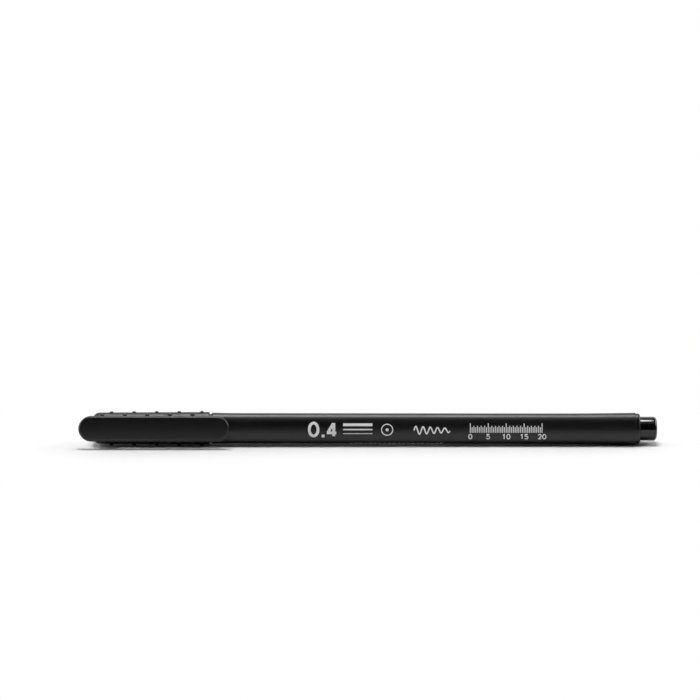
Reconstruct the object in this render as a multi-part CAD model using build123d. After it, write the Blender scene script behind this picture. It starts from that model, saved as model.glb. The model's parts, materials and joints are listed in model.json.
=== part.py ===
from build123d import *
import os
from math import asin, cos, degrees, radians, sin

# A capped fineliner pen. The cap and its clip are at -X, the tail post is at +X, and the clip faces -Y.
# The pen lies on a table, on two rows of the cap's grip nubs and on the flared end of the barrel.
# Lengths are in millimetres, angles in degrees.
# Until the pen is laid down, x is 0 at the front end of the barrel and y = z = 0 is the pen axis.

# Section of the pen: three bowed faces joined by three round corners
corner_reach = 2.5
corner_radius = 2.12
face_radius = 7.87

# Barrel
barrel_length = 118.6
barrel_wall = 0.8
front_swell = 0.12
front_flare_length = 7.5
tail_swell = 0.22
tail_flare_length = 25.0
barrel_front_round = 0.4
barrel_tail_round = 0.2

# Cap shell
cap_length = 32.7
cap_to_barrel_gap = 0.5
cap_end_swell = 0.11
cap_mouth_swell = 0.3
cap_wall = 0.85
cap_end_wall = 1.2
cap_end_round = 1.95
cap_mouth_round = 0.15
seal_socket_wall = 0.4
seal_socket_depth = 4.0
vent_radius = 0.35

# Grip nubs on the cap
nub_radius = 0.62
nub_height = 0.36
nub_side = 0.14
nub_root = 0.25
nub_stagger = 2.55
first_nub_from_end = 2.75
last_nub_from_mouth = 2.16
nubs_in_row = 5
straight_row_angles = (47, 114, 180, 246, 313)
staggered_row_angles = (83, 147, 213, 277)

# Clip
clip_length = 42.0
clip_width = 7.18
clip_thickness = 1.65
clip_gap = 1.0
clip_past_mouth = 5.68
clip_crown_radius = 25.0
clip_face_round = 0.7
clip_back_round = 0.25
clip_root_length = 6.0
clip_root_width = 4.2
clip_root_from_end = 1.5
clip_root_corner = 0.8
clip_root_sink = 0.5
clip_relief_radius = 0.35
clip_bead_radius = 1.3
clip_bead_height = 0.6
clip_bead_length = 4.0
clip_bead_from_mouth = 3.2

# Front section, which holds the nib and carries the cap
spigot_length = 10.0
spigot_lead_in = 0.4
collar_length = 0.35
collar_inset = 0.25
neck_length = 9.3
neck_edge_round = 0.35
bead_height = 0.05
bead_length = 0.9
bead_from_collar = 4.6
cone_base_radius = 2.7
nose_length = 4.7
nose_base_radius = 1.75
nose_tip_radius = 1.55
nose_tip_round = 0.25

# Nib sleeve
sleeve_seat_length = 4.5
sleeve_seat_radius = 1.05
sleeve_cone_length = 1.5
needle_length = 1.6
needle_radius = 0.42
needle_wall = 0.14
sleeve_mouth_round = 0.08

# Nib
nib_exposed = 0.9
nib_tip_round = 0.18
nib_rod_radius = 0.6
nib_taper_length = 1.2
nib_in_reservoir = 8.0

# Ink reservoir and its film
film_thickness = 0.1
reservoir_end_gap = 0.1

# Inner seal of the cap
seal_radius = 2.35
seal_wall = 0.45
seal_end_wall = 0.8
seal_over_nose = 2.8
seal_lip_length = 1.2
nib_to_seal = 2.33

# End plug
flange_length = 1.2
flange_step = 0.2
flange_round = 0.65
post_length = 4.75
post_radius = 3.36
post_round = 1.0
post_wall = 0.9
plug_spigot_length = 8.0
gate_radius = 0.55
gate_height = 0.15

# Fits
press_clearance = 0.02
running_clearance = 0.03
neck_clearance = 0.08
film_clearance = 0.04
overrun = 1.0

# How the pen lies: the clip's face is turned up by this angle
rest_roll = 13.5

# Angles of the section: its faces are spread evenly, with a corner half-way between two faces
faces_in_section = 3
face_angle = 360 / faces_in_section
corner_angle = face_angle / 2
corner_height = corner_reach * sin(radians(corner_angle))
face_half_angle = degrees(asin(corner_height / (face_radius - corner_radius)))
corner_depth = corner_reach * cos(radians(corner_angle))
face_offset = (face_radius - corner_radius) * cos(radians(face_half_angle)) - corner_depth

# Insets of the other sections from the one of the barrel's straight length
bore_inset = barrel_wall
spigot_inset = bore_inset + press_clearance
cap_bore_inset = cap_wall - cap_end_swell
neck_inset = cap_bore_inset + neck_clearance
flange_inset = flange_step - tail_swell

# Places along the pen axis
cap_mouth_x = -cap_to_barrel_gap
cap_end_x = cap_mouth_x - cap_length
cap_floor_x = cap_end_x + cap_end_wall
seal_start_x = cap_floor_x + press_clearance
seal_floor_x = seal_start_x + seal_end_wall
nib_tip_x = seal_floor_x + nib_to_seal
needle_tip_x = nib_tip_x + nib_exposed
needle_base_x = needle_tip_x + needle_length
nose_tip_x = needle_base_x + sleeve_cone_length
nose_base_x = nose_tip_x + nose_length
neck_front_x = -collar_length - neck_length
reservoir_front_x = spigot_length + reservoir_end_gap
reservoir_back_x = barrel_length - plug_spigot_length - reservoir_end_gap
bead_x = -collar_length - bead_from_collar
clip_end_x = cap_mouth_x + clip_past_mouth
clip_root_x = cap_end_x + clip_root_from_end
nub_row_length = cap_length - first_nub_from_end - nub_stagger - last_nub_from_mouth
nub_pitch = nub_row_length / (nubs_in_row - 1)

# Distances of the cap's front face, at the mouth, and of the clip's two sides from the pen axis
cap_face = face_radius + cap_mouth_swell - face_offset
clip_back = cap_face + clip_gap
clip_front = clip_back + clip_thickness


def section_point(x, turn, inset):
    """Point of the inset section whose outward direction is turned up from the front face by turn."""
    face = face_angle * round(turn / face_angle)
    beyond = turn - face
    if abs(beyond) <= face_half_angle:
        centre_turn = face
        centre_reach = -face_offset
        radius = face_radius - inset
    else:
        centre_turn = face + corner_angle * (1 if beyond > 0 else -1)
        centre_reach = corner_reach
        radius = corner_radius - inset
    y = -centre_reach * cos(radians(centre_turn)) - radius * cos(radians(turn))
    z = centre_reach * sin(radians(centre_turn)) + radius * sin(radians(turn))
    return Vector(x, y, z)


def section(x, inset):
    """Face of the pen's section at x, drawn in by inset."""

    def arc(first, middle, last):
        turns = (first, middle, last)
        return ThreePointArc(*[section_point(x, turn, inset) for turn in turns])

    edges = []
    for number in range(faces_in_section):
        face = number * face_angle
        corner = face + corner_angle
        reach = corner_angle - face_half_angle
        edges.append(arc(face - face_half_angle, face, face + face_half_angle))
        edges.append(arc(corner - reach, corner, corner + reach))
    return Face(Wire(edges))


def prism(from_x, to_x, inset):
    """Straight length of the pen's section."""
    return extrude(section(from_x, inset), to_x - from_x, dir=(1, 0, 0))


def turned(*profile):
    """Solid turned about the pen axis from (x, radius) points."""
    return revolve(make_face(Polyline(*profile, close=True)), Axis.X)


def rod(from_x, to_x, radius):
    """Round bar on the pen axis."""
    return turned((from_x, 0), (to_x, 0), (to_x, radius), (from_x, radius))


def end_edges(solid, end):
    """Edges of the solid's end face: the first one along the pen axis (0) or the last (-1)."""
    return solid.faces().sort_by(Axis.X)[end].edges()


def flare(from_x, to_x, swell):
    """Length of the barrel that widens by swell, slowly at first, on the way from from_x to to_x."""
    half_way_share = 0.5
    half_way_x = from_x + (to_x - from_x) * half_way_share
    half_way_swell = swell * half_way_share**2
    return loft([section(from_x, 0), section(half_way_x, -half_way_swell), section(to_x, -swell)])


def make_barrel():
    tail_flare_x = barrel_length - tail_flare_length
    body = prism(front_flare_length, tail_flare_x, 0)
    body += flare(front_flare_length, 0, front_swell)
    body += flare(tail_flare_x, barrel_length, tail_swell)
    body = fillet(end_edges(body, 0), barrel_front_round)
    body = fillet(end_edges(body, -1), barrel_tail_round)
    return body - prism(-overrun, barrel_length + overrun, bore_inset)


def make_end_plug():
    flange_x = barrel_length + flange_length
    post_x = flange_x + post_length
    flange = prism(barrel_length, flange_x, flange_inset)
    flange = fillet(end_edges(flange, -1), flange_round)
    post = rod(flange_x, post_x, post_radius)
    post = fillet(end_edges(post, -1), post_round)
    gate = rod(post_x, post_x + gate_height, gate_radius)
    spigot = prism(barrel_length - plug_spigot_length, barrel_length, spigot_inset)
    hollow = rod(barrel_length - plug_spigot_length - overrun, post_x - post_wall, post_radius - post_wall)
    return flange + post + gate + spigot - hollow


def make_front_section():
    spigot = prism(0, spigot_length, spigot_inset)
    spigot = chamfer(end_edges(spigot, -1), spigot_lead_in)
    collar = prism(-collar_length, 0, collar_inset)
    neck = prism(neck_front_x, -collar_length, neck_inset)
    neck = fillet(end_edges(neck, 0), neck_edge_round)
    bead = prism(bead_x - bead_length / 2, bead_x + bead_length / 2, neck_inset - bead_height)
    bead = chamfer(end_edges(bead, 0) + end_edges(bead, -1), bead_height)
    cone = turned(
        (nose_tip_x, 0),
        (nose_tip_x, nose_tip_radius),
        (nose_base_x, nose_base_radius),
        (neck_front_x, cone_base_radius),
        (neck_front_x + neck_edge_round, cone_base_radius),
        (neck_front_x + neck_edge_round, 0),
    )
    cone = fillet(end_edges(cone, 0), nose_tip_round)
    sleeve_seat = rod(nose_tip_x - overrun, nose_tip_x + sleeve_seat_length, sleeve_seat_radius + press_clearance)
    rod_bore = rod(nose_tip_x, spigot_length + overrun, nib_rod_radius + running_clearance)
    return spigot + collar + neck + bead + cone - sleeve_seat - rod_bore


def make_nib_sleeve():
    needle_bore = needle_radius - needle_wall
    seat_end_x = nose_tip_x + sleeve_seat_length
    tube = turned(
        (needle_tip_x, 0),
        (needle_tip_x, needle_radius),
        (needle_base_x, needle_radius),
        (nose_tip_x, sleeve_seat_radius),
        (seat_end_x, sleeve_seat_radius),
        (seat_end_x, 0),
    )
    tube = fillet(end_edges(tube, 0), sleeve_mouth_round)
    bore = turned(
        (needle_tip_x - overrun, 0),
        (needle_tip_x - overrun, needle_bore),
        (needle_base_x, needle_bore),
        (needle_base_x + nib_taper_length, nib_rod_radius + running_clearance),
        (seat_end_x + overrun, nib_rod_radius + running_clearance),
        (seat_end_x + overrun, 0),
    )
    return tube - bore


def make_nib():
    tip_radius = needle_radius - needle_wall - running_clearance
    rod_end_x = reservoir_front_x + nib_in_reservoir
    fibre = turned(
        (nib_tip_x, 0),
        (nib_tip_x, tip_radius),
        (needle_base_x + running_clearance, tip_radius),
        (needle_base_x + running_clearance + nib_taper_length, nib_rod_radius),
        (rod_end_x, nib_rod_radius),
        (rod_end_x, 0),
    )
    return fillet(end_edges(fibre, 0), nib_tip_round)


def film_radius():
    """Outer radius of the film, which lies against the flats of the barrel's bore."""
    return face_radius - bore_inset - face_offset - film_clearance


def make_reservoir_wrap():
    outer = rod(reservoir_front_x, reservoir_back_x, film_radius())
    inner = rod(reservoir_front_x - overrun, reservoir_back_x + overrun, film_radius() - film_thickness)
    return outer - inner


def make_ink_reservoir():
    core = rod(reservoir_front_x, reservoir_back_x, film_radius() - film_thickness - press_clearance)
    rod_end_x = reservoir_front_x + nib_in_reservoir + running_clearance
    return core - rod(reservoir_front_x - overrun, rod_end_x, nib_rod_radius + running_clearance)


def make_inner_seal():
    mouth_x = nose_tip_x + seal_over_nose
    nose_slope = (nose_base_radius - nose_tip_radius) / nose_length
    lip_radius = nose_tip_radius + nose_slope * seal_over_nose + running_clearance
    cup = rod(seal_start_x, mouth_x, seal_radius)
    hollow = rod(seal_floor_x, mouth_x - seal_lip_length, seal_radius - seal_wall)
    return cup - hollow - rod(seal_floor_x, mouth_x + overrun, lip_radius)


def cap_swell(x):
    """How far the cap stands out at x: it widens steadily from its closed end to its mouth."""
    return cap_end_swell + (cap_mouth_swell - cap_end_swell) * (x - cap_end_x) / cap_length


def make_nubs():
    """Low domes with a short straight side on the cap, in rows that run along it."""
    crown = nub_height - nub_side
    dome_radius = (nub_radius**2 + crown**2) / (2 * crown)
    core = Cylinder(nub_radius, nub_height + nub_root, align=(Align.CENTER, Align.CENTER, Align.MIN))
    dome = Pos(0, 0, nub_height - dome_radius) * Sphere(dome_radius)
    nub = dome & (Pos(0, 0, -nub_root) * core)
    nubs = []
    for rows, shift in ((straight_row_angles, 0), (staggered_row_angles, nub_stagger)):
        for turn in rows:
            outward = (0, -cos(radians(turn)), sin(radians(turn)))
            for number in range(nubs_in_row):
                x = cap_end_x + first_nub_from_end + shift + number * nub_pitch
                place = Plane(section_point(x, turn, -cap_swell(x)), x_dir=(1, 0, 0), z_dir=outward)
                nubs.append(place * nub)
    return nubs


def clip_relief():
    """Round groove across the clip's root, on the line that the clip bends about."""
    return Pos(clip_root_x, -clip_back, 0) * Cylinder(clip_relief_radius, clip_width + overrun)


def make_clip_root():
    depth = clip_gap + clip_root_sink
    block = Box(clip_root_length, depth, clip_root_width)
    block = fillet(block.edges().filter_by(Axis.Y), clip_root_corner)
    return Pos(clip_root_x + clip_root_length / 2, -clip_back + depth / 2, 0) * block


def make_cap_shell():
    shell = loft([section(cap_end_x, -cap_end_swell), section(cap_mouth_x, -cap_mouth_swell)], ruled=True)
    shell = fillet(end_edges(shell, 0), cap_end_round)
    shell = fillet(end_edges(shell, -1), cap_mouth_round)
    shell = shell + make_nubs() + make_clip_root()
    shell -= prism(cap_floor_x, cap_mouth_x + overrun, cap_bore_inset)
    groove_length = bead_length + neck_clearance
    shell -= prism(bead_x - groove_length / 2, bead_x + groove_length / 2, cap_bore_inset - bead_height)
    socket_bore = seal_radius + press_clearance
    socket = rod(cap_floor_x, cap_floor_x + seal_socket_depth, socket_bore + seal_socket_wall)
    socket -= rod(cap_floor_x, cap_floor_x + seal_socket_depth + overrun, socket_bore)
    shell += socket
    vent_reach = socket_bore + seal_socket_wall + vent_radius
    for number in range(faces_in_section):
        turn = corner_angle + number * face_angle
        y = -vent_reach * cos(radians(turn))
        z = vent_reach * sin(radians(turn))
        vent = rod(cap_end_x - overrun, cap_floor_x + overrun, vent_radius)
        shell -= Pos(0, y, z) * vent
    return shell - clip_relief()


def make_clip():
    upright = Plane((clip_end_x - clip_length / 2, -clip_back, 0), x_dir=(1, 0, 0), z_dir=(0, -1, 0))
    plate = extrude(upright * SlotOverall(clip_length, clip_width), clip_thickness)
    crown = Cylinder(clip_crown_radius, 2 * clip_length, rotation=(0, 90, 0))
    plate &= Pos(clip_end_x - clip_length / 2, clip_crown_radius - clip_front, 0) * crown
    faces = plate.faces().sort_by(Axis.Y)
    plate = fillet(faces[0].edges(), clip_face_round)
    plate = fillet(plate.faces().sort_by(Axis.Y)[-1].edges(), clip_back_round)
    bead = Pos(0, clip_bead_height - clip_bead_radius, 0) * Cylinder(clip_bead_radius, clip_bead_length)
    bead &= Box(2 * clip_bead_radius, clip_thickness, clip_bead_length)
    return plate + Pos(cap_mouth_x - clip_bead_from_mouth, -clip_back, 0) * bead - clip_relief()


pieces = {
    "barrel": make_barrel(),
    "end_plug": make_end_plug(),
    "front_section": make_front_section(),
    "nib_sleeve": make_nib_sleeve(),
    "nib": make_nib(),
    "ink_reservoir": make_ink_reservoir(),
    "reservoir_wrap": make_reservoir_wrap(),
    "cap_shell": make_cap_shell(),
    "inner_seal": make_inner_seal(),
    "clip": make_clip(),
}

# Lay the pen down: roll it, then stand the middle of its footprint on the origin
rolled = {name: Rot(X=-rest_roll) * piece for name, piece in pieces.items()}
box = Compound(list(rolled.values())).bounding_box()
lay_down = Pos(-box.center().X, -box.center().Y, -box.min.Z)

os.makedirs("parts", exist_ok=True)
for name, piece in rolled.items():
    export_step(lay_down * piece, f"parts/{name}.step")
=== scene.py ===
import json
import math

import bmesh
import bpy
from mathutils import Euler, Matrix, Vector


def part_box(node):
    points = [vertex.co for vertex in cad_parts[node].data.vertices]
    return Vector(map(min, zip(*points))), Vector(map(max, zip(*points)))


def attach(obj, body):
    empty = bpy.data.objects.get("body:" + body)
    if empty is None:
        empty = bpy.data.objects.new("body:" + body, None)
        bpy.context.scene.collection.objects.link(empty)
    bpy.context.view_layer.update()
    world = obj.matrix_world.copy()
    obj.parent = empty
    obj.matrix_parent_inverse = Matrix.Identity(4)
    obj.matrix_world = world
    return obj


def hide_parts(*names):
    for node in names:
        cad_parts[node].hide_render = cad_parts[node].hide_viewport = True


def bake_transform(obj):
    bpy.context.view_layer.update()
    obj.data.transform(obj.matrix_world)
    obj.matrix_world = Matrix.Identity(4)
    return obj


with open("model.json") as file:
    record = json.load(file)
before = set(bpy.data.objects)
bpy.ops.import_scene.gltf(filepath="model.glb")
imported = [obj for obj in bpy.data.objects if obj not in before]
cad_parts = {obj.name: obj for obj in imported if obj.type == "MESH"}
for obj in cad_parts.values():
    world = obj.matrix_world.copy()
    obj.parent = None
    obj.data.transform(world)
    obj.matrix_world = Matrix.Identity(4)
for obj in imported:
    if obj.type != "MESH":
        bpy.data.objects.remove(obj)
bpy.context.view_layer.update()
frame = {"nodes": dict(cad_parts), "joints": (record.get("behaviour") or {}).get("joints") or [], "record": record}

# Looks of a capped fineliner pen that lies on a white table.
# The pen's own frame is the one that its CAD part is built in: millimetres, x from the barrel's front end to
# the tail, y = z = 0 on the pen axis, and the clip on the -Y side. place() turns it into the scene's metres.
# Angles in the lists below are in degrees. Counts of rings and steps say how finely a mesh is divided.

# Section of the pen: three bowed faces that run smoothly into three round corners.
# The bends say how its radius of curvature swings about the mean, once and twice for every face.
section_radius = 4.238
face_bend = 2.8
corner_bend = 0.8
faces_in_section = 3
section_steps = 192
edge_rings = 8

# Barrel
barrel_length = 118.6
barrel_wall = 0.8
front_swell = 0.12
front_flare_length = 7.5
front_flare_rings = 12
straight_rings = 30
tail_swell = 0.22
tail_flare_length = 25.0
tail_flare_rings = 40
barrel_front_round = 0.4
barrel_tail_round = 0.2

# Cap shell
cap_length = 32.7
cap_to_barrel_gap = 0.5
cap_end_swell = 0.11
cap_mouth_swell = 0.3
cap_wall = 0.85
cap_bore_play = 0.08
cap_end_wall = 1.2
cap_end_round = 1.95
cap_end_rings = 20
cap_mouth_round = 0.15
cap_mouth_rings = 4
cap_rings = 24
seal_bore_radius = 2.37
seal_socket_wall = 0.4
seal_socket_depth = 4.0
vent_radius = 0.35
vent_steps = 24

# Grip nubs on the cap. In the middle of a face the smooth section bows out more than the solids do, so the
# nubs there are sunk by up to nub_face_sink.
nub_radius = 0.62
nub_height = 0.36
nub_root = 0.25
nub_rings = 8
nub_steps = 32
nub_face_sink = 0.08
nub_stagger = 2.55
first_nub_from_end = 2.75
last_nub_from_mouth = 2.16
nubs_in_row = 5
straight_row_angles = (47, 114, 180, 246, 313)
staggered_row_angles = (83, 147, 213, 277)

# Clip
clip_length = 42.0
clip_width = 7.18
clip_thickness = 1.65
clip_gap = 1.0
clip_past_mouth = 5.68
clip_crown_radius = 25.0
clip_face_round = 0.7
clip_back_round = 0.25
clip_root_length = 6.0
clip_root_width = 4.2
clip_root_from_end = 1.5
clip_root_corner = 0.8
clip_root_corner_steps = 8
clip_root_sink = 0.5
clip_relief_radius = 0.35
clip_bead_radius = 1.3
clip_bead_height = 0.6
clip_bead_length = 4.0
clip_bead_from_mouth = 3.2
clip_side_steps = 140
clip_end_steps = 40
clip_rings = 14

# End plug
flange_length = 1.2
flange_step = 0.2
flange_round = 0.65
post_length = 4.75
post_radius = 3.36
post_round = 1.0
post_wall = 0.9
plug_spigot_length = 8.0
plug_clearance = 0.02
gate_radius = 0.55
gate_height = 0.15

# White print on the barrel's front face: x along the pen, and up from the middle line of the face.
# Strokes that cross lie in different layers, so that no two faces of the ink fall together.
ink_lift = 0.02
ink_layer = 0.001
ink_layers = 4
ink_step = 0.3
ink_join_gap = 0.02
mitre_limit = 0.6
numeral_text = "0.4"
numeral_x = 27.4
numeral_up = -2.05
numeral_height = 3.65
numeral_stroke = 0.8
sample_x = (36.8, 45.0)
sample_ups = (1.15, -0.2, -1.35)
sample_strokes = (0.8, 0.4, 0.2)
ring_x = 49.1
ring_up = -0.25
ring_radius = 1.55
ring_stroke = 0.26
ring_steps = 48
ring_dot_radius = 0.45
ring_dot_steps = 16
wave_x = (56.6, 66.7)
wave_up = -0.4
wave_height = 1.15
wave_fade_share = 0.5
wave_count = 5
wave_stroke = 0.38
wave_steps = 120
scale_x = 72.3
scale_length = 20
scale_ups = (-1.05, 1.6)
scale_stroke = 0.25
ticks_per_mm = 2
ticks_per_figure = 10
whole_tick_shorter = 0.7
half_tick_shorter = 1.1
figure_up = -2.85
figure_height = 1.35
figure_stroke = 0.27
figure_steps = 32
figure_width_share = 0.66
figure_advance_share = 0.95
dot_advance_share = 0.45
dash_x = (38.7, 65.3)
dash_up = -4.76
dash_count = 20
dash_share = 0.65
dash_stroke = 0.28

# Camera, and where the middle of the barrel's axis falls in the 700 x 700 picture
picture_side = 700
barrel_pixel = (423.5, 428.25)
picture_width = 196.07
view_elevation = 15.9
view_roll = 0.07
camera_distance = 900.0
sensor = 36.0

# Lamps: a softbox overhead, and one at each end of the pen. Azimuths turn from +X to the back.
lamp_aim_share = 1 / 3
softbox_reach = 1000.0
softbox_tilt = 8.5
softbox_size = (480.0, 330.0)
softbox_radiance = 16.5
side_lamp_reach = 700.0
side_lamp_rise = 26.0
side_lamp_size = (500.0, 240.0)
right_lamp_azimuth = 15.0
right_lamp_radiance = 3.6
left_lamp_azimuth = 180.0
left_lamp_radiance = 2.3

# Surround. Each pair of shares is a span of a direction's part to the back (Y) or up (Z), over which one glow
# turns into another.
backdrop_glow = 1.15
room_glow = 0.02
ceiling_glow = 0.38
backdrop_overhead_share = 0.03
backdrop_side_shares = (-0.3, 0.1)
backdrop_top_shares = (0.55, 0.85)
ceiling_edge_shares = (0.8, 0.97)
ceiling_back_shares = (-0.1, 0.1)

# Table: it leans up to the camera a little, so that it is seen low. It fades to white in an oval.
floor_size = 8000.0
floor_lean = 2.5
floor_colour = (0.78, 0.78, 0.78)
floor_fade_from = 14.0
floor_fade_to = 45.0
floor_fade_shape = (0.15, 1, 1)

# General values. Colours and gloss change while the noise runs between its two shares.
mm = 0.001
fine = 1e-7
sharp_edge = 35.0
solve_steps = 6
noise_detail = 2
noise_shares = (0.3, 0.7)

# Angles of the section, in radians, and its bends by how often they swing in a turn
face_angle = 2 * math.pi / faces_in_section
corner_angle = face_angle / 2
section_bends = ((faces_in_section, face_bend), (2 * faces_in_section, corner_bend))

# Places along the pen axis, and distances from it
bore_inset = barrel_wall
cap_bore_inset = cap_wall - cap_end_swell - cap_bore_play
flange_inset = flange_step - tail_swell
post_x = barrel_length + flange_length
cap_mouth_x = -cap_to_barrel_gap
cap_end_x = cap_mouth_x - cap_length
cap_floor_x = cap_end_x + cap_end_wall
seal_socket_radius = seal_bore_radius + seal_socket_wall
clip_end_x = cap_mouth_x + clip_past_mouth
clip_root_x = cap_end_x + clip_root_from_end
nub_row_length = cap_length - first_nub_from_end - nub_stagger - last_nub_from_mouth
nub_pitch = nub_row_length / (nubs_in_row - 1)
floor_touch_x = cap_mouth_x - last_nub_from_mouth

# The pen's frame in the scene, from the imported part
record = frame["record"]
post_mount = next(mount for mount in record["mounts"] if mount["name"] == "tail_post")
clip_joint = next(joint for joint in frame["joints"] if joint["name"] == "clip_flex")
rest_roll = math.atan2(-clip_joint["axis"][1], -clip_joint["axis"][2])
pen_turn = Matrix.Rotation(-rest_roll, 3, "X")
pen_origin = Vector((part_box("barrel")[0].x, post_mount["pos_m"][1], post_mount["pos_m"][2]))
hinge = pen_turn.inverted() @ (Vector(clip_joint["pos_m"]) - pen_origin)
clip_back = -hinge.y / mm
clip_front = clip_back + clip_thickness


def place(point):
    """Point of the pen's frame as a point of the scene."""
    return pen_origin + pen_turn @ (Vector(point) * mm)


# Meshes


def outward(turn):
    """Direction that is turned up by turn from the front face, about the pen axis."""
    return Vector((0, -math.cos(turn), math.sin(turn)))


def section_point(x, turn, inset):
    """Point of the inset section whose outward direction is turned up from the front face by turn."""
    reach = section_radius - inset
    aside = 0
    for order, bend in section_bends:
        swing = bend / (order**2 - 1)
        reach -= swing * math.cos(order * turn)
        aside += swing * order * math.sin(order * turn)
    return Vector((x, 0, 0)) + outward(turn) * reach + outward(turn + math.pi / 2) * aside


def spread(first, last, steps):
    """Evenly spread values from first up to, but not including, last."""
    return [first + (last - first) * step / steps for step in range(steps)]


turns = spread(0, 2 * math.pi, section_steps)


def section_ring(x, inset):
    return [section_point(x, turn, inset) for turn in turns]


def round_ring(x, radius):
    return [Vector((x, 0, 0)) + outward(turn) * radius for turn in turns]


def rounding(x, inset, radius, facing, steps=edge_rings):
    """Places and insets on a rounded end edge, from the side to the end face; facing is 1 to +x, -1 to -x."""
    angles = [math.pi / 2 * step / steps for step in range(steps + 1)]
    return [(x - facing * radius * (1 - math.sin(a)), inset + radius * (1 - math.cos(a))) for a in angles]


def mesh_object(name, points, faces):
    """Smooth closed mesh from points of the pen's frame."""
    build = bmesh.new()
    corners = [build.verts.new(place(point)) for point in points]
    for face in faces:
        build.faces.new([corners[index] for index in face])
    bmesh.ops.remove_doubles(build, verts=build.verts, dist=fine)
    bmesh.ops.recalc_face_normals(build, faces=build.faces)
    mesh = bpy.data.meshes.new(name)
    build.to_mesh(mesh)
    build.free()
    mesh.shade_smooth()
    mesh.set_sharp_from_angle(angle=math.radians(sharp_edge))
    piece = bpy.data.objects.new(name, mesh)
    bpy.context.scene.collection.objects.link(piece)
    return piece


def band_faces(rows, count, closed=False):
    """Faces between rows that are rings of count points; closed joins the last row to the first."""
    faces = []
    for row in range(rows if closed else rows - 1):
        here = row * count
        there = (row + 1) % rows * count
        for column in range(count):
            beside = (column + 1) % count
            faces.append((here + column, here + beside, there + beside, there + column))
    return faces


def skin_parts(rings, closed=False):
    """Points and faces through rings: a closed loop of rings, or a row of them with both ends filled."""
    count = len(rings[0])
    points = [point for ring in rings for point in ring]
    faces = band_faces(len(rings), count, closed)
    if not closed:
        for ring, first in ((rings[0], 0), (rings[-1], len(points) - count)):
            hub = len(points)
            points.append(sum(ring, Vector()) / count)
            faces += [(first + column, first + (column + 1) % count, hub) for column in range(count)]
    return points, faces


def skin(name, rings, closed=False):
    return mesh_object(name, *skin_parts(rings, closed))


def gather(name, parts):
    """One mesh of several parts, each of which is its points and faces."""
    points, faces = [], []
    for more_points, more_faces in parts:
        faces += [[len(points) + index for index in face] for face in more_faces]
        points += more_points
    return mesh_object(name, points, faces)


def combine(piece, tool, operation):
    """Joins the tool's mesh to the piece, or cuts it out of it."""
    change = piece.modifiers.new("combine", "BOOLEAN")
    change.operation = operation
    change.object = tool
    change.solver = "EXACT"
    seen = piece.evaluated_get(bpy.context.evaluated_depsgraph_get())
    mesh = bpy.data.meshes.new_from_object(seen)
    piece.modifiers.clear()
    piece.data = mesh
    mesh.set_sharp_from_angle(angle=math.radians(sharp_edge))
    bpy.data.objects.remove(tool)


# Barrel and end plug


def barrel_swell(x):
    """How far the barrel stands out at x: it flares a little at the front and more at the tail."""
    front_share = max(0, 1 - x / front_flare_length)
    tail_share = max(0, 1 - (barrel_length - x) / tail_flare_length)
    return front_swell * front_share**2 + tail_swell * tail_share**2


def make_barrel():
    tail_start = barrel_length - tail_flare_length
    tail_end = barrel_length - barrel_tail_round
    front_flare = spread(barrel_front_round, front_flare_length, front_flare_rings)[1:]
    tail_flare = spread(tail_start, tail_end, tail_flare_rings)
    profile = rounding(0, -front_swell, barrel_front_round, -1)[::-1]
    profile += [(x, -barrel_swell(x)) for x in front_flare]
    profile += [(x, 0) for x in spread(front_flare_length, tail_start, straight_rings)]
    profile += [(x, -barrel_swell(x)) for x in tail_flare]
    profile += rounding(barrel_length, -tail_swell, barrel_tail_round, 1)
    profile += [(barrel_length, bore_inset), (0, bore_inset)]
    return skin("barrel_tube", [section_ring(x, inset) for x, inset in profile], closed=True)


def make_end_plug():
    end_x = post_x + post_length
    spigot_x = barrel_length - plug_spigot_length
    hollow_x = end_x - post_wall
    hollow_radius = post_radius - post_wall
    spigot_inset = bore_inset + plug_clearance
    rings = [round_ring(hollow_x, hollow_radius), round_ring(spigot_x, hollow_radius)]
    rings += [section_ring(spigot_x, spigot_inset), section_ring(barrel_length, spigot_inset)]
    rings += [section_ring(barrel_length, flange_inset)]
    rings += [section_ring(x, inset) for x, inset in rounding(post_x, flange_inset, flange_round, 1)]
    rings += [round_ring(post_x, post_radius)]
    rings += [round_ring(x, post_radius - inset) for x, inset in rounding(end_x, 0, post_round, 1)]
    rings += [round_ring(end_x, gate_radius), round_ring(end_x + gate_height, gate_radius)]
    return skin("tail_plug", rings)


# Cap shell


def cap_swell(x):
    """How far the cap stands out at x: it widens steadily from its closed end to its mouth."""
    return cap_end_swell + (cap_mouth_swell - cap_end_swell) * (x - cap_end_x) / cap_length


def nub_places():
    """Foot and direction of every grip nub."""
    places = []
    for rows, shift in ((straight_row_angles, 0), (staggered_row_angles, nub_stagger)):
        for angle in rows:
            turn = math.radians(angle)
            for number in range(nubs_in_row):
                x = cap_end_x + first_nub_from_end + shift + number * nub_pitch
                sink = nub_face_sink * max(0, math.cos(faces_in_section * turn)) ** 2
                places.append((section_point(x, turn, sink - cap_swell(x)), outward(turn)))
    return places


def nub_profile():
    """Radii and heights of a low dome, from its root in the cap to its top."""
    dome_radius = (nub_radius**2 + nub_height**2) / (2 * nub_height)
    edge = math.asin(nub_radius / dome_radius)
    profile = [(nub_radius, -nub_root), (nub_radius, 0)]
    for angle in spread(edge, 0, nub_rings)[1:]:
        profile.append((dome_radius * math.sin(angle), nub_height - dome_radius * (1 - math.cos(angle))))
    return profile


def make_nubs():
    """All the grip nubs."""
    profile = nub_profile()
    along = Vector((1, 0, 0))
    angles = spread(0, 2 * math.pi, nub_steps)
    parts = []
    for foot, up in nub_places():
        across = up.cross(along)
        rings = []
        for radius, height in profile:
            middle = foot + up * height
            rings.append([middle + (along * math.cos(a) + across * math.sin(a)) * radius for a in angles])
        parts.append(skin_parts(rings))
    return gather("nubs", parts)


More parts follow.
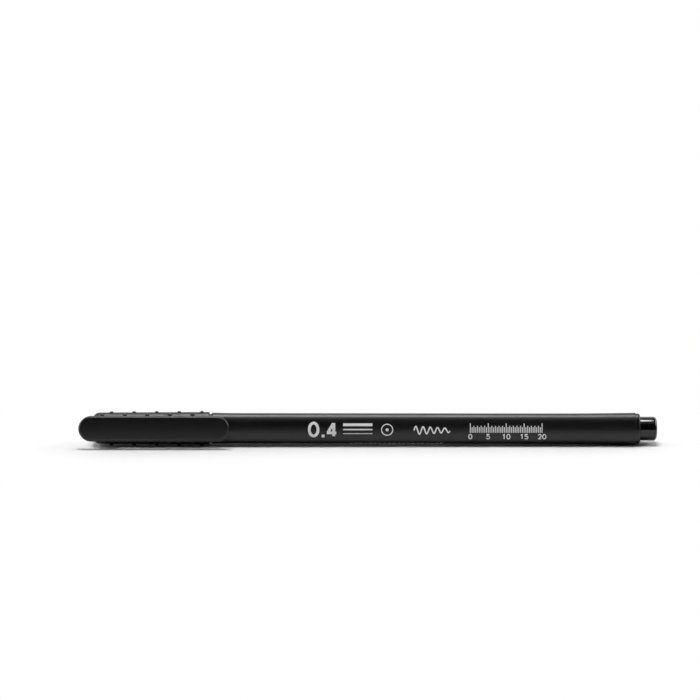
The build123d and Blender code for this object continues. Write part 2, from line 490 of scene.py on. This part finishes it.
def make_clip_root():
    """Block between the cap and the clip, with round upright edges."""
    depth = clip_gap + clip_root_sink
    half_length = clip_root_length / 2 - clip_root_corner
    half_width = clip_root_width / 2 - clip_root_corner
    rim = []
    for quarter, (along, across) in enumerate(((1, 1), (-1, 1), (-1, -1), (1, -1))):
        for step in range(clip_root_corner_steps + 1):
            angle = math.pi / 2 * (quarter + step / clip_root_corner_steps)
            x = along * half_length + clip_root_corner * math.cos(angle)
            rim.append((x, across * half_width + clip_root_corner * math.sin(angle)))
    middle_x = clip_root_x + clip_root_length / 2
    rings = [[Vector((middle_x + x, y, z)) for x, z in rim] for y in (-clip_back, depth - clip_back)]
    return skin("clip_root", rings)


def make_vent(turn):
    """Round bar where an air vent goes through the cap's closed end."""
    centre = outward(turn) * (seal_socket_radius + vent_radius)
    rim = [centre + outward(angle) * vent_radius for angle in spread(0, 2 * math.pi, vent_steps)]
    ends = (cap_end_x - cap_end_wall, cap_floor_x + cap_end_wall / 2)
    return skin("vent", [[point + Vector((x, 0, 0)) for point in rim] for x in ends])


def make_cap_shell():
    end = rounding(cap_end_x, -cap_end_swell, cap_end_round, -1, cap_end_rings)[1:]
    side = spread(cap_end_x + cap_end_round, cap_mouth_x - cap_mouth_round, cap_rings)
    profile = end[::-1]
    profile += [(x, -cap_swell(x)) for x in side]
    profile += rounding(cap_mouth_x, -cap_mouth_swell, cap_mouth_round, 1, cap_mouth_rings)
    profile += [(cap_mouth_x, cap_bore_inset), (cap_floor_x, cap_bore_inset)]
    rings = [section_ring(x, inset) for x, inset in profile]
    socket_x = cap_floor_x + seal_socket_depth
    rings += [round_ring(cap_floor_x, seal_socket_radius), round_ring(socket_x, seal_socket_radius)]
    rings += [round_ring(socket_x, seal_bore_radius), round_ring(cap_floor_x, seal_bore_radius)]
    cap = skin("cap_body", rings)
    for number in range(faces_in_section):
        combine(cap, make_vent(corner_angle + number * face_angle), "DIFFERENCE")
    combine(cap, make_clip_root(), "UNION")
    combine(cap, make_nubs(), "UNION")
    return cap


# Clip


def clip_outline(inset):
    """Points (x, z) of the clip's outline, drawn in by inset: two straight sides and two half circles."""
    radius = clip_width / 2 - inset
    right_x = clip_end_x - clip_width / 2
    left_x = clip_end_x - clip_length + clip_width / 2
    outline = [(x, radius) for x in spread(right_x, left_x, clip_side_steps)]
    for angle in spread(math.pi / 2, math.pi * 3 / 2, clip_end_steps):
        outline.append((left_x + radius * math.cos(angle), radius * math.sin(angle)))
    outline += [(x, -radius) for x in spread(left_x, right_x, clip_side_steps)]
    for angle in spread(-math.pi / 2, math.pi / 2, clip_end_steps):
        outline.append((right_x + radius * math.cos(angle), radius * math.sin(angle)))
    return outline


def clip_back_form(x, z):
    """How far the clip's back stands out towards the cap: a bead across it, and a groove at its root."""
    from_bead = x - (cap_mouth_x - clip_bead_from_mouth)
    if abs(from_bead) < clip_bead_radius and abs(z) < clip_bead_length / 2:
        rise = math.sqrt(clip_bead_radius**2 - from_bead**2) - clip_bead_radius + clip_bead_height
        return max(0, rise)
    from_groove = x - clip_root_x
    if abs(from_groove) < clip_relief_radius:
        return -math.sqrt(clip_relief_radius**2 - from_groove**2)
    return 0


def clip_face_ring(inset, drop):
    """Ring of the clip's crowned face, set back by drop."""
    ring = []
    for x, z in clip_outline(inset):
        crown = clip_crown_radius - math.sqrt(clip_crown_radius**2 - z**2)
        ring.append(Vector((x, crown + drop - clip_front, z)))
    return ring


def make_clip():
    half_width = clip_width / 2
    rings = [clip_face_ring(inset, 0) for inset in spread(half_width, clip_face_round, clip_rings)]
    for drop, inset in rounding(0, 0, clip_face_round, -1)[::-1]:
        rings.append(clip_face_ring(inset, drop))
    for drop, inset in rounding(0, 0, clip_back_round, 1):
        rings.append([Vector((x, drop - clip_back, z)) for x, z in clip_outline(inset)])
    for inset in spread(half_width, clip_back_round, clip_rings)[::-1]:
        rings.append([Vector((x, clip_back_form(x, z) - clip_back, z)) for x, z in clip_outline(inset)])
    points = [point for ring in rings for point in ring]
    return mesh_object("clip_plate", points, band_faces(len(rings), len(rings[0])))


# Print: thin strips of ink along paths of (x, up) points


def face_point(x, up, lift):
    """Point over the barrel's front face, where up is measured along the face's curve."""
    turn = up / section_radius
    for _ in range(solve_steps):
        length, radius = section_radius * turn, section_radius
        for order, bend in section_bends:
            length += bend / order * math.sin(order * turn)
            radius += bend * math.cos(order * turn)
        turn -= (length - up) / radius
    return section_point(x, turn, -barrel_swell(x) - lift)


def line(*points):
    """Path through the points, with steps short enough to follow the barrel."""
    path = [Vector(points[0])]
    for first, last in zip(points, points[1:]):
        span = Vector(last) - Vector(first)
        steps = max(1, math.ceil(span.length / ink_step))
        path += [Vector(first) + span * step / steps for step in range(1, steps + 1)]
    return path


def bow(middle, size, first, last, steps=figure_steps):
    """Path along a part of an oval, between two angles."""
    angles = [math.radians(first + (last - first) * step / steps) for step in range(steps + 1)]
    return [Vector((middle[0] + size[0] * math.cos(a), middle[1] + size[1] * math.sin(a))) for a in angles]


def ribbon(path, stroke, lift):
    """Points and faces of a strip along a path, which is closed where it comes back to its start."""
    closed = (path[0] - path[-1]).length < ink_join_gap
    if closed:
        path = path[:-1]
    rings = []
    for index, spot in enumerate(path):
        before = path[index - 1] if closed or index else spot
        after = path[(index + 1) % len(path)] if closed or index + 1 < len(path) else spot
        along = (after - before).normalized()
        leg = (spot - before if spot != before else after - spot).normalized()
        side = Vector((-along.y, along.x)) * stroke / 2 / max(mitre_limit, along.dot(leg))
        corners = ((-1, -lift), (-1, lift), (1, lift), (1, -lift))
        rings.append([face_point(*(spot + side * way), height) for way, height in corners])
    return skin_parts(rings, closed)


def figure(sign):
    """Paths of a plain figure, or else of a decimal point, in shares of the figure's height."""
    if sign == "0":
        return [bow((0.33, 0.5), (0.33, 0.5), 0, 360)]
    if sign == "1":
        return [line((0.12, 0.78), (0.4, 1), (0.4, 0))]
    if sign == "2":
        hook = bow((0.33, 0.69), (0.3, 0.31), 170, -35)
        return [hook + line((0.5, 0.42), (0.05, 0), (0.66, 0))]
    if sign == "4":
        stem = line((0.47, 0), (0.47, 1))
        slope = line((0.43, 0.97), (0.02, 0.28))
        bar = line((-0.06, 0.25), (0.66, 0.25))
        return [stem, slope, bar]
    if sign == "5":
        flag = line((0.6, 1), (0.1, 1), (0.07, 0.56))
        return [flag + bow((0.31, 0.32), (0.33, 0.32), 125, -150)]
    return [line((0.1, -0.11), (0.1, 0.11))]


def figures(text, x, up, height):
    """Paths of a number that starts at x and stands on up."""
    paths = []
    for sign in text:
        for path in figure(sign):
            paths.append([Vector((x, up)) + point * height for point in path])
        x += height * (dot_advance_share if sign == "." else figure_advance_share)
    return paths


def ring_strokes():
    """Ring with a dot in its middle."""
    middle = (ring_x, ring_up)
    dot = ring_dot_radius / 2
    ring_path = bow(middle, (ring_radius, ring_radius), 0, 360, ring_steps)
    dot_path = bow(middle, (dot, dot), 0, 360, ring_dot_steps)
    return [(ring_path, ring_stroke), (dot_path, ring_dot_radius)]


def wave_path():
    """Wave that gets lower along the pen."""
    path = []
    for share in spread(0, 1, wave_steps):
        x = wave_x[0] + (wave_x[1] - wave_x[0]) * share
        swing = math.sin(2 * math.pi * wave_count * share)
        path.append(Vector((x, wave_up + wave_height * (1 - share * wave_fade_share) * swing)))
    return path


def scale_strokes():
    """Scale whose longest ticks have figures under them."""
    strokes = []
    for number in range(scale_length * ticks_per_mm + 1):
        x = scale_x + number / ticks_per_mm
        has_figure = number % ticks_per_figure == 0
        shorter = whole_tick_shorter if number % ticks_per_mm == 0 else half_tick_shorter
        top = scale_ups[1] - (0 if has_figure else shorter)
        strokes.append((line((x, scale_ups[0]), (x, top)), scale_stroke))
        if has_figure:
            text = str(number // ticks_per_mm)
            width = figure_height * (figure_advance_share * (len(text) - 1) + figure_width_share)
            paths = figures(text, x - width / 2, figure_up, figure_height)
            strokes += [(path, figure_stroke) for path in paths]
    return strokes


def dash_strokes():
    """Dashed line low on the face."""
    length = (dash_x[1] - dash_x[0]) / dash_count * dash_share
    starts = spread(*dash_x, dash_count)
    return [(line((start, dash_up), (start + length, dash_up)), dash_stroke) for start in starts]


def print_strokes():
    """Every path of the print with its stroke: a number, line samples, a ring, a wave, a scale and dashes."""
    numeral = figures(numeral_text, numeral_x, numeral_up, numeral_height)
    strokes = [(path, numeral_stroke) for path in numeral]
    for up, stroke in zip(sample_ups, sample_strokes):
        strokes.append((line((sample_x[0], up), (sample_x[1], up)), stroke))
    strokes += ring_strokes()
    strokes.append((wave_path(), wave_stroke))
    return strokes + scale_strokes() + dash_strokes()


def make_print():
    parts = []
    for number, (path, stroke) in enumerate(print_strokes()):
        parts.append(ribbon(path, stroke, ink_lift + number % ink_layers * ink_layer))
    return gather("face_print", parts)


# Materials


def add(tree, kind, **values):
    """New node of a tree, with its inputs set, or linked where the value is a socket.

    A key names an input, with two underscores for a space, or _0, _1 and so on by its number.
    Any other key that starts with an underscore names a property of the node.
    """
    node = tree.nodes.new(kind)
    for key, value in values.items():
        if key.startswith("_") and not key[1:].isdigit():
            setattr(node, key[1:], value)
            continue
        socket = node.inputs[int(key[1:]) if key[1:].isdigit() else key.replace("__", " ")]
        if isinstance(value, bpy.types.NodeSocket):
            tree.links.new(value, socket)
        else:
            socket.default_value = value
    return node


def new_material(name):
    material = bpy.data.materials.new(name)
    material.use_nodes = True
    material.node_tree.nodes.clear()
    return material, material.node_tree


def noise(tree, size, stretch):
    """Noise over the surface with features of a size in millimetres, drawn out along the pen by stretch."""
    spot = add(tree, "ShaderNodeTexCoord").outputs["Object"]
    scale = 1 / (size * mm)
    mapping = add(tree, "ShaderNodeMapping", Vector=spot, Scale=(scale / stretch, scale, scale))
    grains = add(tree, "ShaderNodeTexNoise", Vector=mapping.outputs[0], Scale=1, Detail=noise_detail)
    return grains.outputs["Fac"]


def between(tree, factor, low, high):
    """Value that runs from low to high where the noise does."""
    return add(
        tree,
        "ShaderNodeMapRange",
        Value=factor,
        From__Min=noise_shares[0],
        From__Max=noise_shares[1],
        To__Min=low,
        To__Max=high,
    ).outputs[0]


def tint(tree, factor, low, high):
    """Colour that runs from low to high where the noise does."""
    node = add(tree, "ShaderNodeValToRGB", Fac=factor)
    for stop, position, colour in zip(node.color_ramp.elements, noise_shares, (low, high)):
        stop.position = position
        stop.color = (*colour, 1)
    return node.outputs[0]


def ramp(tree, value, first, last, low, high):
    """Value that runs smoothly from low to high while the given one runs from first to last."""
    return add(
        tree,
        "ShaderNodeMapRange",
        _interpolation_type="SMOOTHSTEP",
        Value=value,
        From__Min=first,
        From__Max=last,
        To__Min=low,
        To__Max=high,
    ).outputs[0]


def sums(tree, operation, first, second):
    return add(tree, "ShaderNodeMath", _operation=operation, _0=first, _1=second).outputs[0]


def finish(name, colours, roughness, grain, depth, stretch=1, blotch=1.5, polish=None, **more):
    """Surface with fine grain in its relief and slow changes of colour and gloss.

    The grain's size, its depth and the size of the blotches are in millimetres.
    Colours and roughness are pairs that the surface runs between.
    Polish is a place along the scene's X and the roughness past it.
    """
    material, tree = new_material(name)
    slow = noise(tree, blotch, stretch)
    rough = between(tree, slow, *roughness)
    if polish:
        spot = add(tree, "ShaderNodeTexCoord").outputs["Object"]
        along = add(tree, "ShaderNodeSeparateXYZ", Vector=spot).outputs["X"]
        rough = ramp(tree, along, polish[0], polish[0] + fine, rough, polish[1])
    relief = noise(tree, grain, stretch)
    bump = add(tree, "ShaderNodeBump", Height=relief, Strength=1.0, Distance=depth * mm)
    shader = add(
        tree,
        "ShaderNodeBsdfPrincipled",
        Base__Color=tint(tree, slow, *colours),
        Roughness=rough,
        Normal=bump.outputs[0],
        **more,
    )
    add(tree, "ShaderNodeOutputMaterial", Surface=shader.outputs[0])
    return material


def dress(piece, material):
    piece.data.materials.clear()
    piece.data.materials.append(material)


black = ((0.0012, 0.0012, 0.0013), (0.0022, 0.0022, 0.0024))
matt_black = ((0.002, 0.002, 0.0021), (0.003, 0.003, 0.0032))
print_white = ((0.9, 0.9, 0.92), (0.95, 0.95, 0.97))
steel = ((0.55, 0.55, 0.56), (0.7, 0.7, 0.71))
ink = ((0.006, 0.006, 0.008), (0.02, 0.02, 0.025))
clear = ((0.78, 0.8, 0.83), (0.86, 0.88, 0.9))
natural = ((0.58, 0.58, 0.54), (0.68, 0.68, 0.64))
waxy = {"Subsurface__Weight": 0.3, "Subsurface__Radius": (mm, mm, mm)}
post_roughness = 0.12
post_polish = (place((post_x, 0, 0)).x, post_roughness)

barrel_finish = finish("barrel_satin", black, roughness=(0.36, 0.42), grain=0.12, depth=0.0006, stretch=8)
cap_finish = finish("cap_matt", matt_black, roughness=(0.38, 0.44), grain=0.1, depth=0.0008)
plug_finish = finish("plug_gloss", black, roughness=(0.28, 0.34), grain=0.3, depth=0.0004, polish=post_polish)
section_finish = finish("section_satin", black, roughness=(0.25, 0.35), grain=0.15, depth=0.0005, stretch=4)
print_finish = finish("white_ink", print_white, roughness=(0.45, 0.6), grain=0.05, depth=0.001, blotch=0.6)
sleeve_finish = finish(
    "sleeve_drawn",
    steel,
    roughness=(0.2, 0.35),
    grain=0.02,
    depth=0.0005,
    stretch=30,
    blotch=0.08,
    Metallic=1.0,
)
nib_finish = finish("nib_fibre", ink, roughness=(0.6, 0.8), grain=0.03, depth=0.004, stretch=20, blotch=0.1)
reservoir_finish = finish(
    "reservoir_fibre",
    ink,
    roughness=(0.8, 0.95),
    grain=0.05,
    depth=0.01,
    stretch=20,
    blotch=0.4,
)
film_finish = finish(
    "clear_film",
    clear,
    roughness=(0.06, 0.14),
    grain=0.5,
    depth=0.001,
    stretch=3,
    Transmission__Weight=0.9,
)
seal_finish = finish("seal_waxy", natural, roughness=(0.35, 0.5), grain=0.2, depth=0.0008, **waxy)

# Pieces, with the barrel, end plug, cap and print put on their bodies

barrel = make_barrel()
dress(barrel, barrel_finish)
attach(barrel, "pen")
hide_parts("barrel")

plug = make_end_plug()
dress(plug, plug_finish)
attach(plug, "pen")
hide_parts("end_plug")

cap = make_cap_shell()
dress(cap, cap_finish)
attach(cap, "cap")
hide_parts("cap_shell")

clip = make_clip()
dress(clip, cap_finish)
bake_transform(clip)
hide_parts("clip")

lettering = make_print()
dress(lettering, print_finish)
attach(lettering, "pen")

carried_over = {
    "front_section": section_finish,
    "nib_sleeve": sleeve_finish,
    "nib": nib_finish,
    "ink_reservoir": reservoir_finish,
    "reservoir_wrap": film_finish,
    "inner_seal": seal_finish,
}
for node, material in carried_over.items():
    dress(frame["nodes"][node], material)

# Camera, light and table


def make_camera():
    lens = sensor * camera_distance / picture_width
    focal_pixels = lens / sensor * picture_side
    aside = (barrel_pixel[0] - picture_side / 2) / focal_pixels
    below = math.atan((barrel_pixel[1] - picture_side / 2) / focal_pixels)
    rise = math.radians(view_elevation)
    middle = place((barrel_length / 2, 0, 0))
    reach = camera_distance * mm
    camera = bpy.data.objects.new("camera", bpy.data.cameras.new("camera"))
    bpy.context.scene.collection.objects.link(camera)
    camera.data.lens = lens
    camera.data.sensor_width = sensor
    shift = Vector((-aside * reach * math.cos(below), -reach * math.cos(rise), reach * math.sin(rise)))
    camera.location = middle + shift
    tilt = Euler((math.pi / 2 - rise + below, 0, 0)).to_matrix()
    roll = Matrix.Rotation(math.radians(view_roll), 3, "Z")
    camera.rotation_euler = (tilt @ roll).to_euler()
    bpy.context.scene.camera = camera


def make_lamp(name, size, radiance, reach, direction, turn):
    """Soft lamp of a radiance, at a reach from the pen and out of the camera's sight."""
    lamp = bpy.data.lights.new(name, "AREA")
    lamp.shape = "RECTANGLE"
    lamp.size = size[0] * mm
    lamp.size_y = size[1] * mm
    lamp.energy = radiance * math.pi * lamp.size * lamp.size_y
    piece = bpy.data.objects.new(name, lamp)
    bpy.context.scene.collection.objects.link(piece)
    piece.location = place((barrel_length * lamp_aim_share, 0, 0)) + direction * reach * mm
    piece.rotation_euler = turn
    piece.visible_camera = False


def make_lamps():
    tilt = math.radians(softbox_tilt)
    overhead = Vector((0, math.sin(tilt), math.cos(tilt)))
    make_lamp("softbox", softbox_size, softbox_radiance, softbox_reach, overhead, Euler((-tilt, 0, 0)))
    rise = math.radians(side_lamp_rise)
    for name, azimuth, radiance in (
        ("right_lamp", right_lamp_azimuth, right_lamp_radiance),
        ("left_lamp", left_lamp_azimuth, left_lamp_radiance),
    ):
        swing = math.radians(azimuth)
        aside = Vector((math.cos(rise) * math.cos(swing), math.cos(rise) * math.sin(swing), math.sin(rise)))
        turn = aside.to_track_quat("Z", "Y").to_euler()
        make_lamp(name, side_lamp_size, radiance, side_lamp_reach, aside, turn)


def make_world():
    """White for the camera. For light: a bright backdrop, and in front a dark room with a pale ceiling."""
    world = bpy.data.worlds.new("studio")
    bpy.context.scene.world = world
    world.use_nodes = True
    tree = world.node_tree
    tree.nodes.clear()
    way = add(tree, "ShaderNodeTexCoord").outputs["Generated"]
    split = add(tree, "ShaderNodeSeparateXYZ", Vector=way)
    back, up = split.outputs["Y"], split.outputs["Z"]
    around = ramp(tree, back, *backdrop_side_shares, room_glow, backdrop_glow)
    low = ramp(tree, up, *backdrop_top_shares, 1.0, backdrop_overhead_share)
    high = ramp(tree, up, *ceiling_edge_shares, 0.0, ceiling_glow)
    ahead = ramp(tree, back, *ceiling_back_shares, 1.0, 0.0)
    backdrop = sums(tree, "MULTIPLY", around, low)
    ceiling = sums(tree, "MULTIPLY", high, ahead)
    glow = sums(tree, "ADD", backdrop, ceiling)
    seen = add(tree, "ShaderNodeLightPath").outputs["Is Camera Ray"]
    light = add(tree, "ShaderNodeBackground", Color=(1, 1, 1, 1), Strength=glow)
    white = add(tree, "ShaderNodeBackground", Color=(1, 1, 1, 1), Strength=1.0)
    sky = add(tree, "ShaderNodeMixShader", _0=seen, _1=light.outputs[0], _2=white.outputs[0])
    add(tree, "ShaderNodeOutputWorld", Surface=sky.outputs[0])


def floor_finish():
    """Pale paper that keeps the pen's shadow and fades to plain white round it."""
    material, tree = new_material("floor")
    spot = add(tree, "ShaderNodeTexCoord").outputs["Object"]
    shape = add(tree, "ShaderNodeMapping", Vector=spot, Scale=floor_fade_shape)
    reach = add(tree, "ShaderNodeVectorMath", _operation="LENGTH", _0=shape.outputs[0]).outputs["Value"]
    away = ramp(tree, reach, floor_fade_from * mm, floor_fade_to * mm, 0.0, 1.0)
    path = add(tree, "ShaderNodeLightPath")
    seen = sums(tree, "MAXIMUM", path.outputs["Is Camera Ray"], path.outputs["Is Glossy Ray"])
    seen = sums(tree, "MAXIMUM", seen, path.outputs["Is Transmission Ray"])
    paper = add(tree, "ShaderNodeBsdfDiffuse", Color=(*floor_colour, 1))
    white = add(tree, "ShaderNodeEmission", Color=(1, 1, 1, 1), Strength=1.0)
    fade = sums(tree, "MULTIPLY", away, seen)
    blend = add(tree, "ShaderNodeMixShader", _0=fade, _1=paper.outputs[0], _2=white.outputs[0])
    add(tree, "ShaderNodeOutputMaterial", Surface=blend.outputs[0])
    return material


def make_floor():
    """Table that slopes along the pen, so that it touches both the cap's nubs and the barrel's tail."""
    half = floor_size * mm / 2
    corners = [(-half, -half, 0), (half, -half, 0), (half, half, 0), (-half, half, 0)]
    mesh = bpy.data.meshes.new("floor")
    mesh.from_pydata(corners, [], [(0, 1, 2, 3)])
    mesh.materials.append(floor_finish())
    floor = bpy.data.objects.new("floor", mesh)
    bpy.context.scene.collection.objects.link(floor)
    lean = math.radians(floor_lean)
    up = Vector((0, math.sin(lean), math.cos(lean)))
    cap_low = min(up.dot(corner.co) for corner in cap.data.vertices)
    barrel_low = min(up.dot(corner.co) for corner in barrel.data.vertices)
    touch = place((floor_touch_x, 0, 0))
    slope = (barrel_low - cap_low) / (place((barrel_length, 0, 0)).x - touch.x)
    floor.location = up * (cap_low - touch.x * slope)
    floor.rotation_euler = (-lean, -math.atan(slope), 0)


make_camera()
make_lamps()
make_world()
make_floor()
bpy.context.scene.view_settings.view_transform = "Standard"
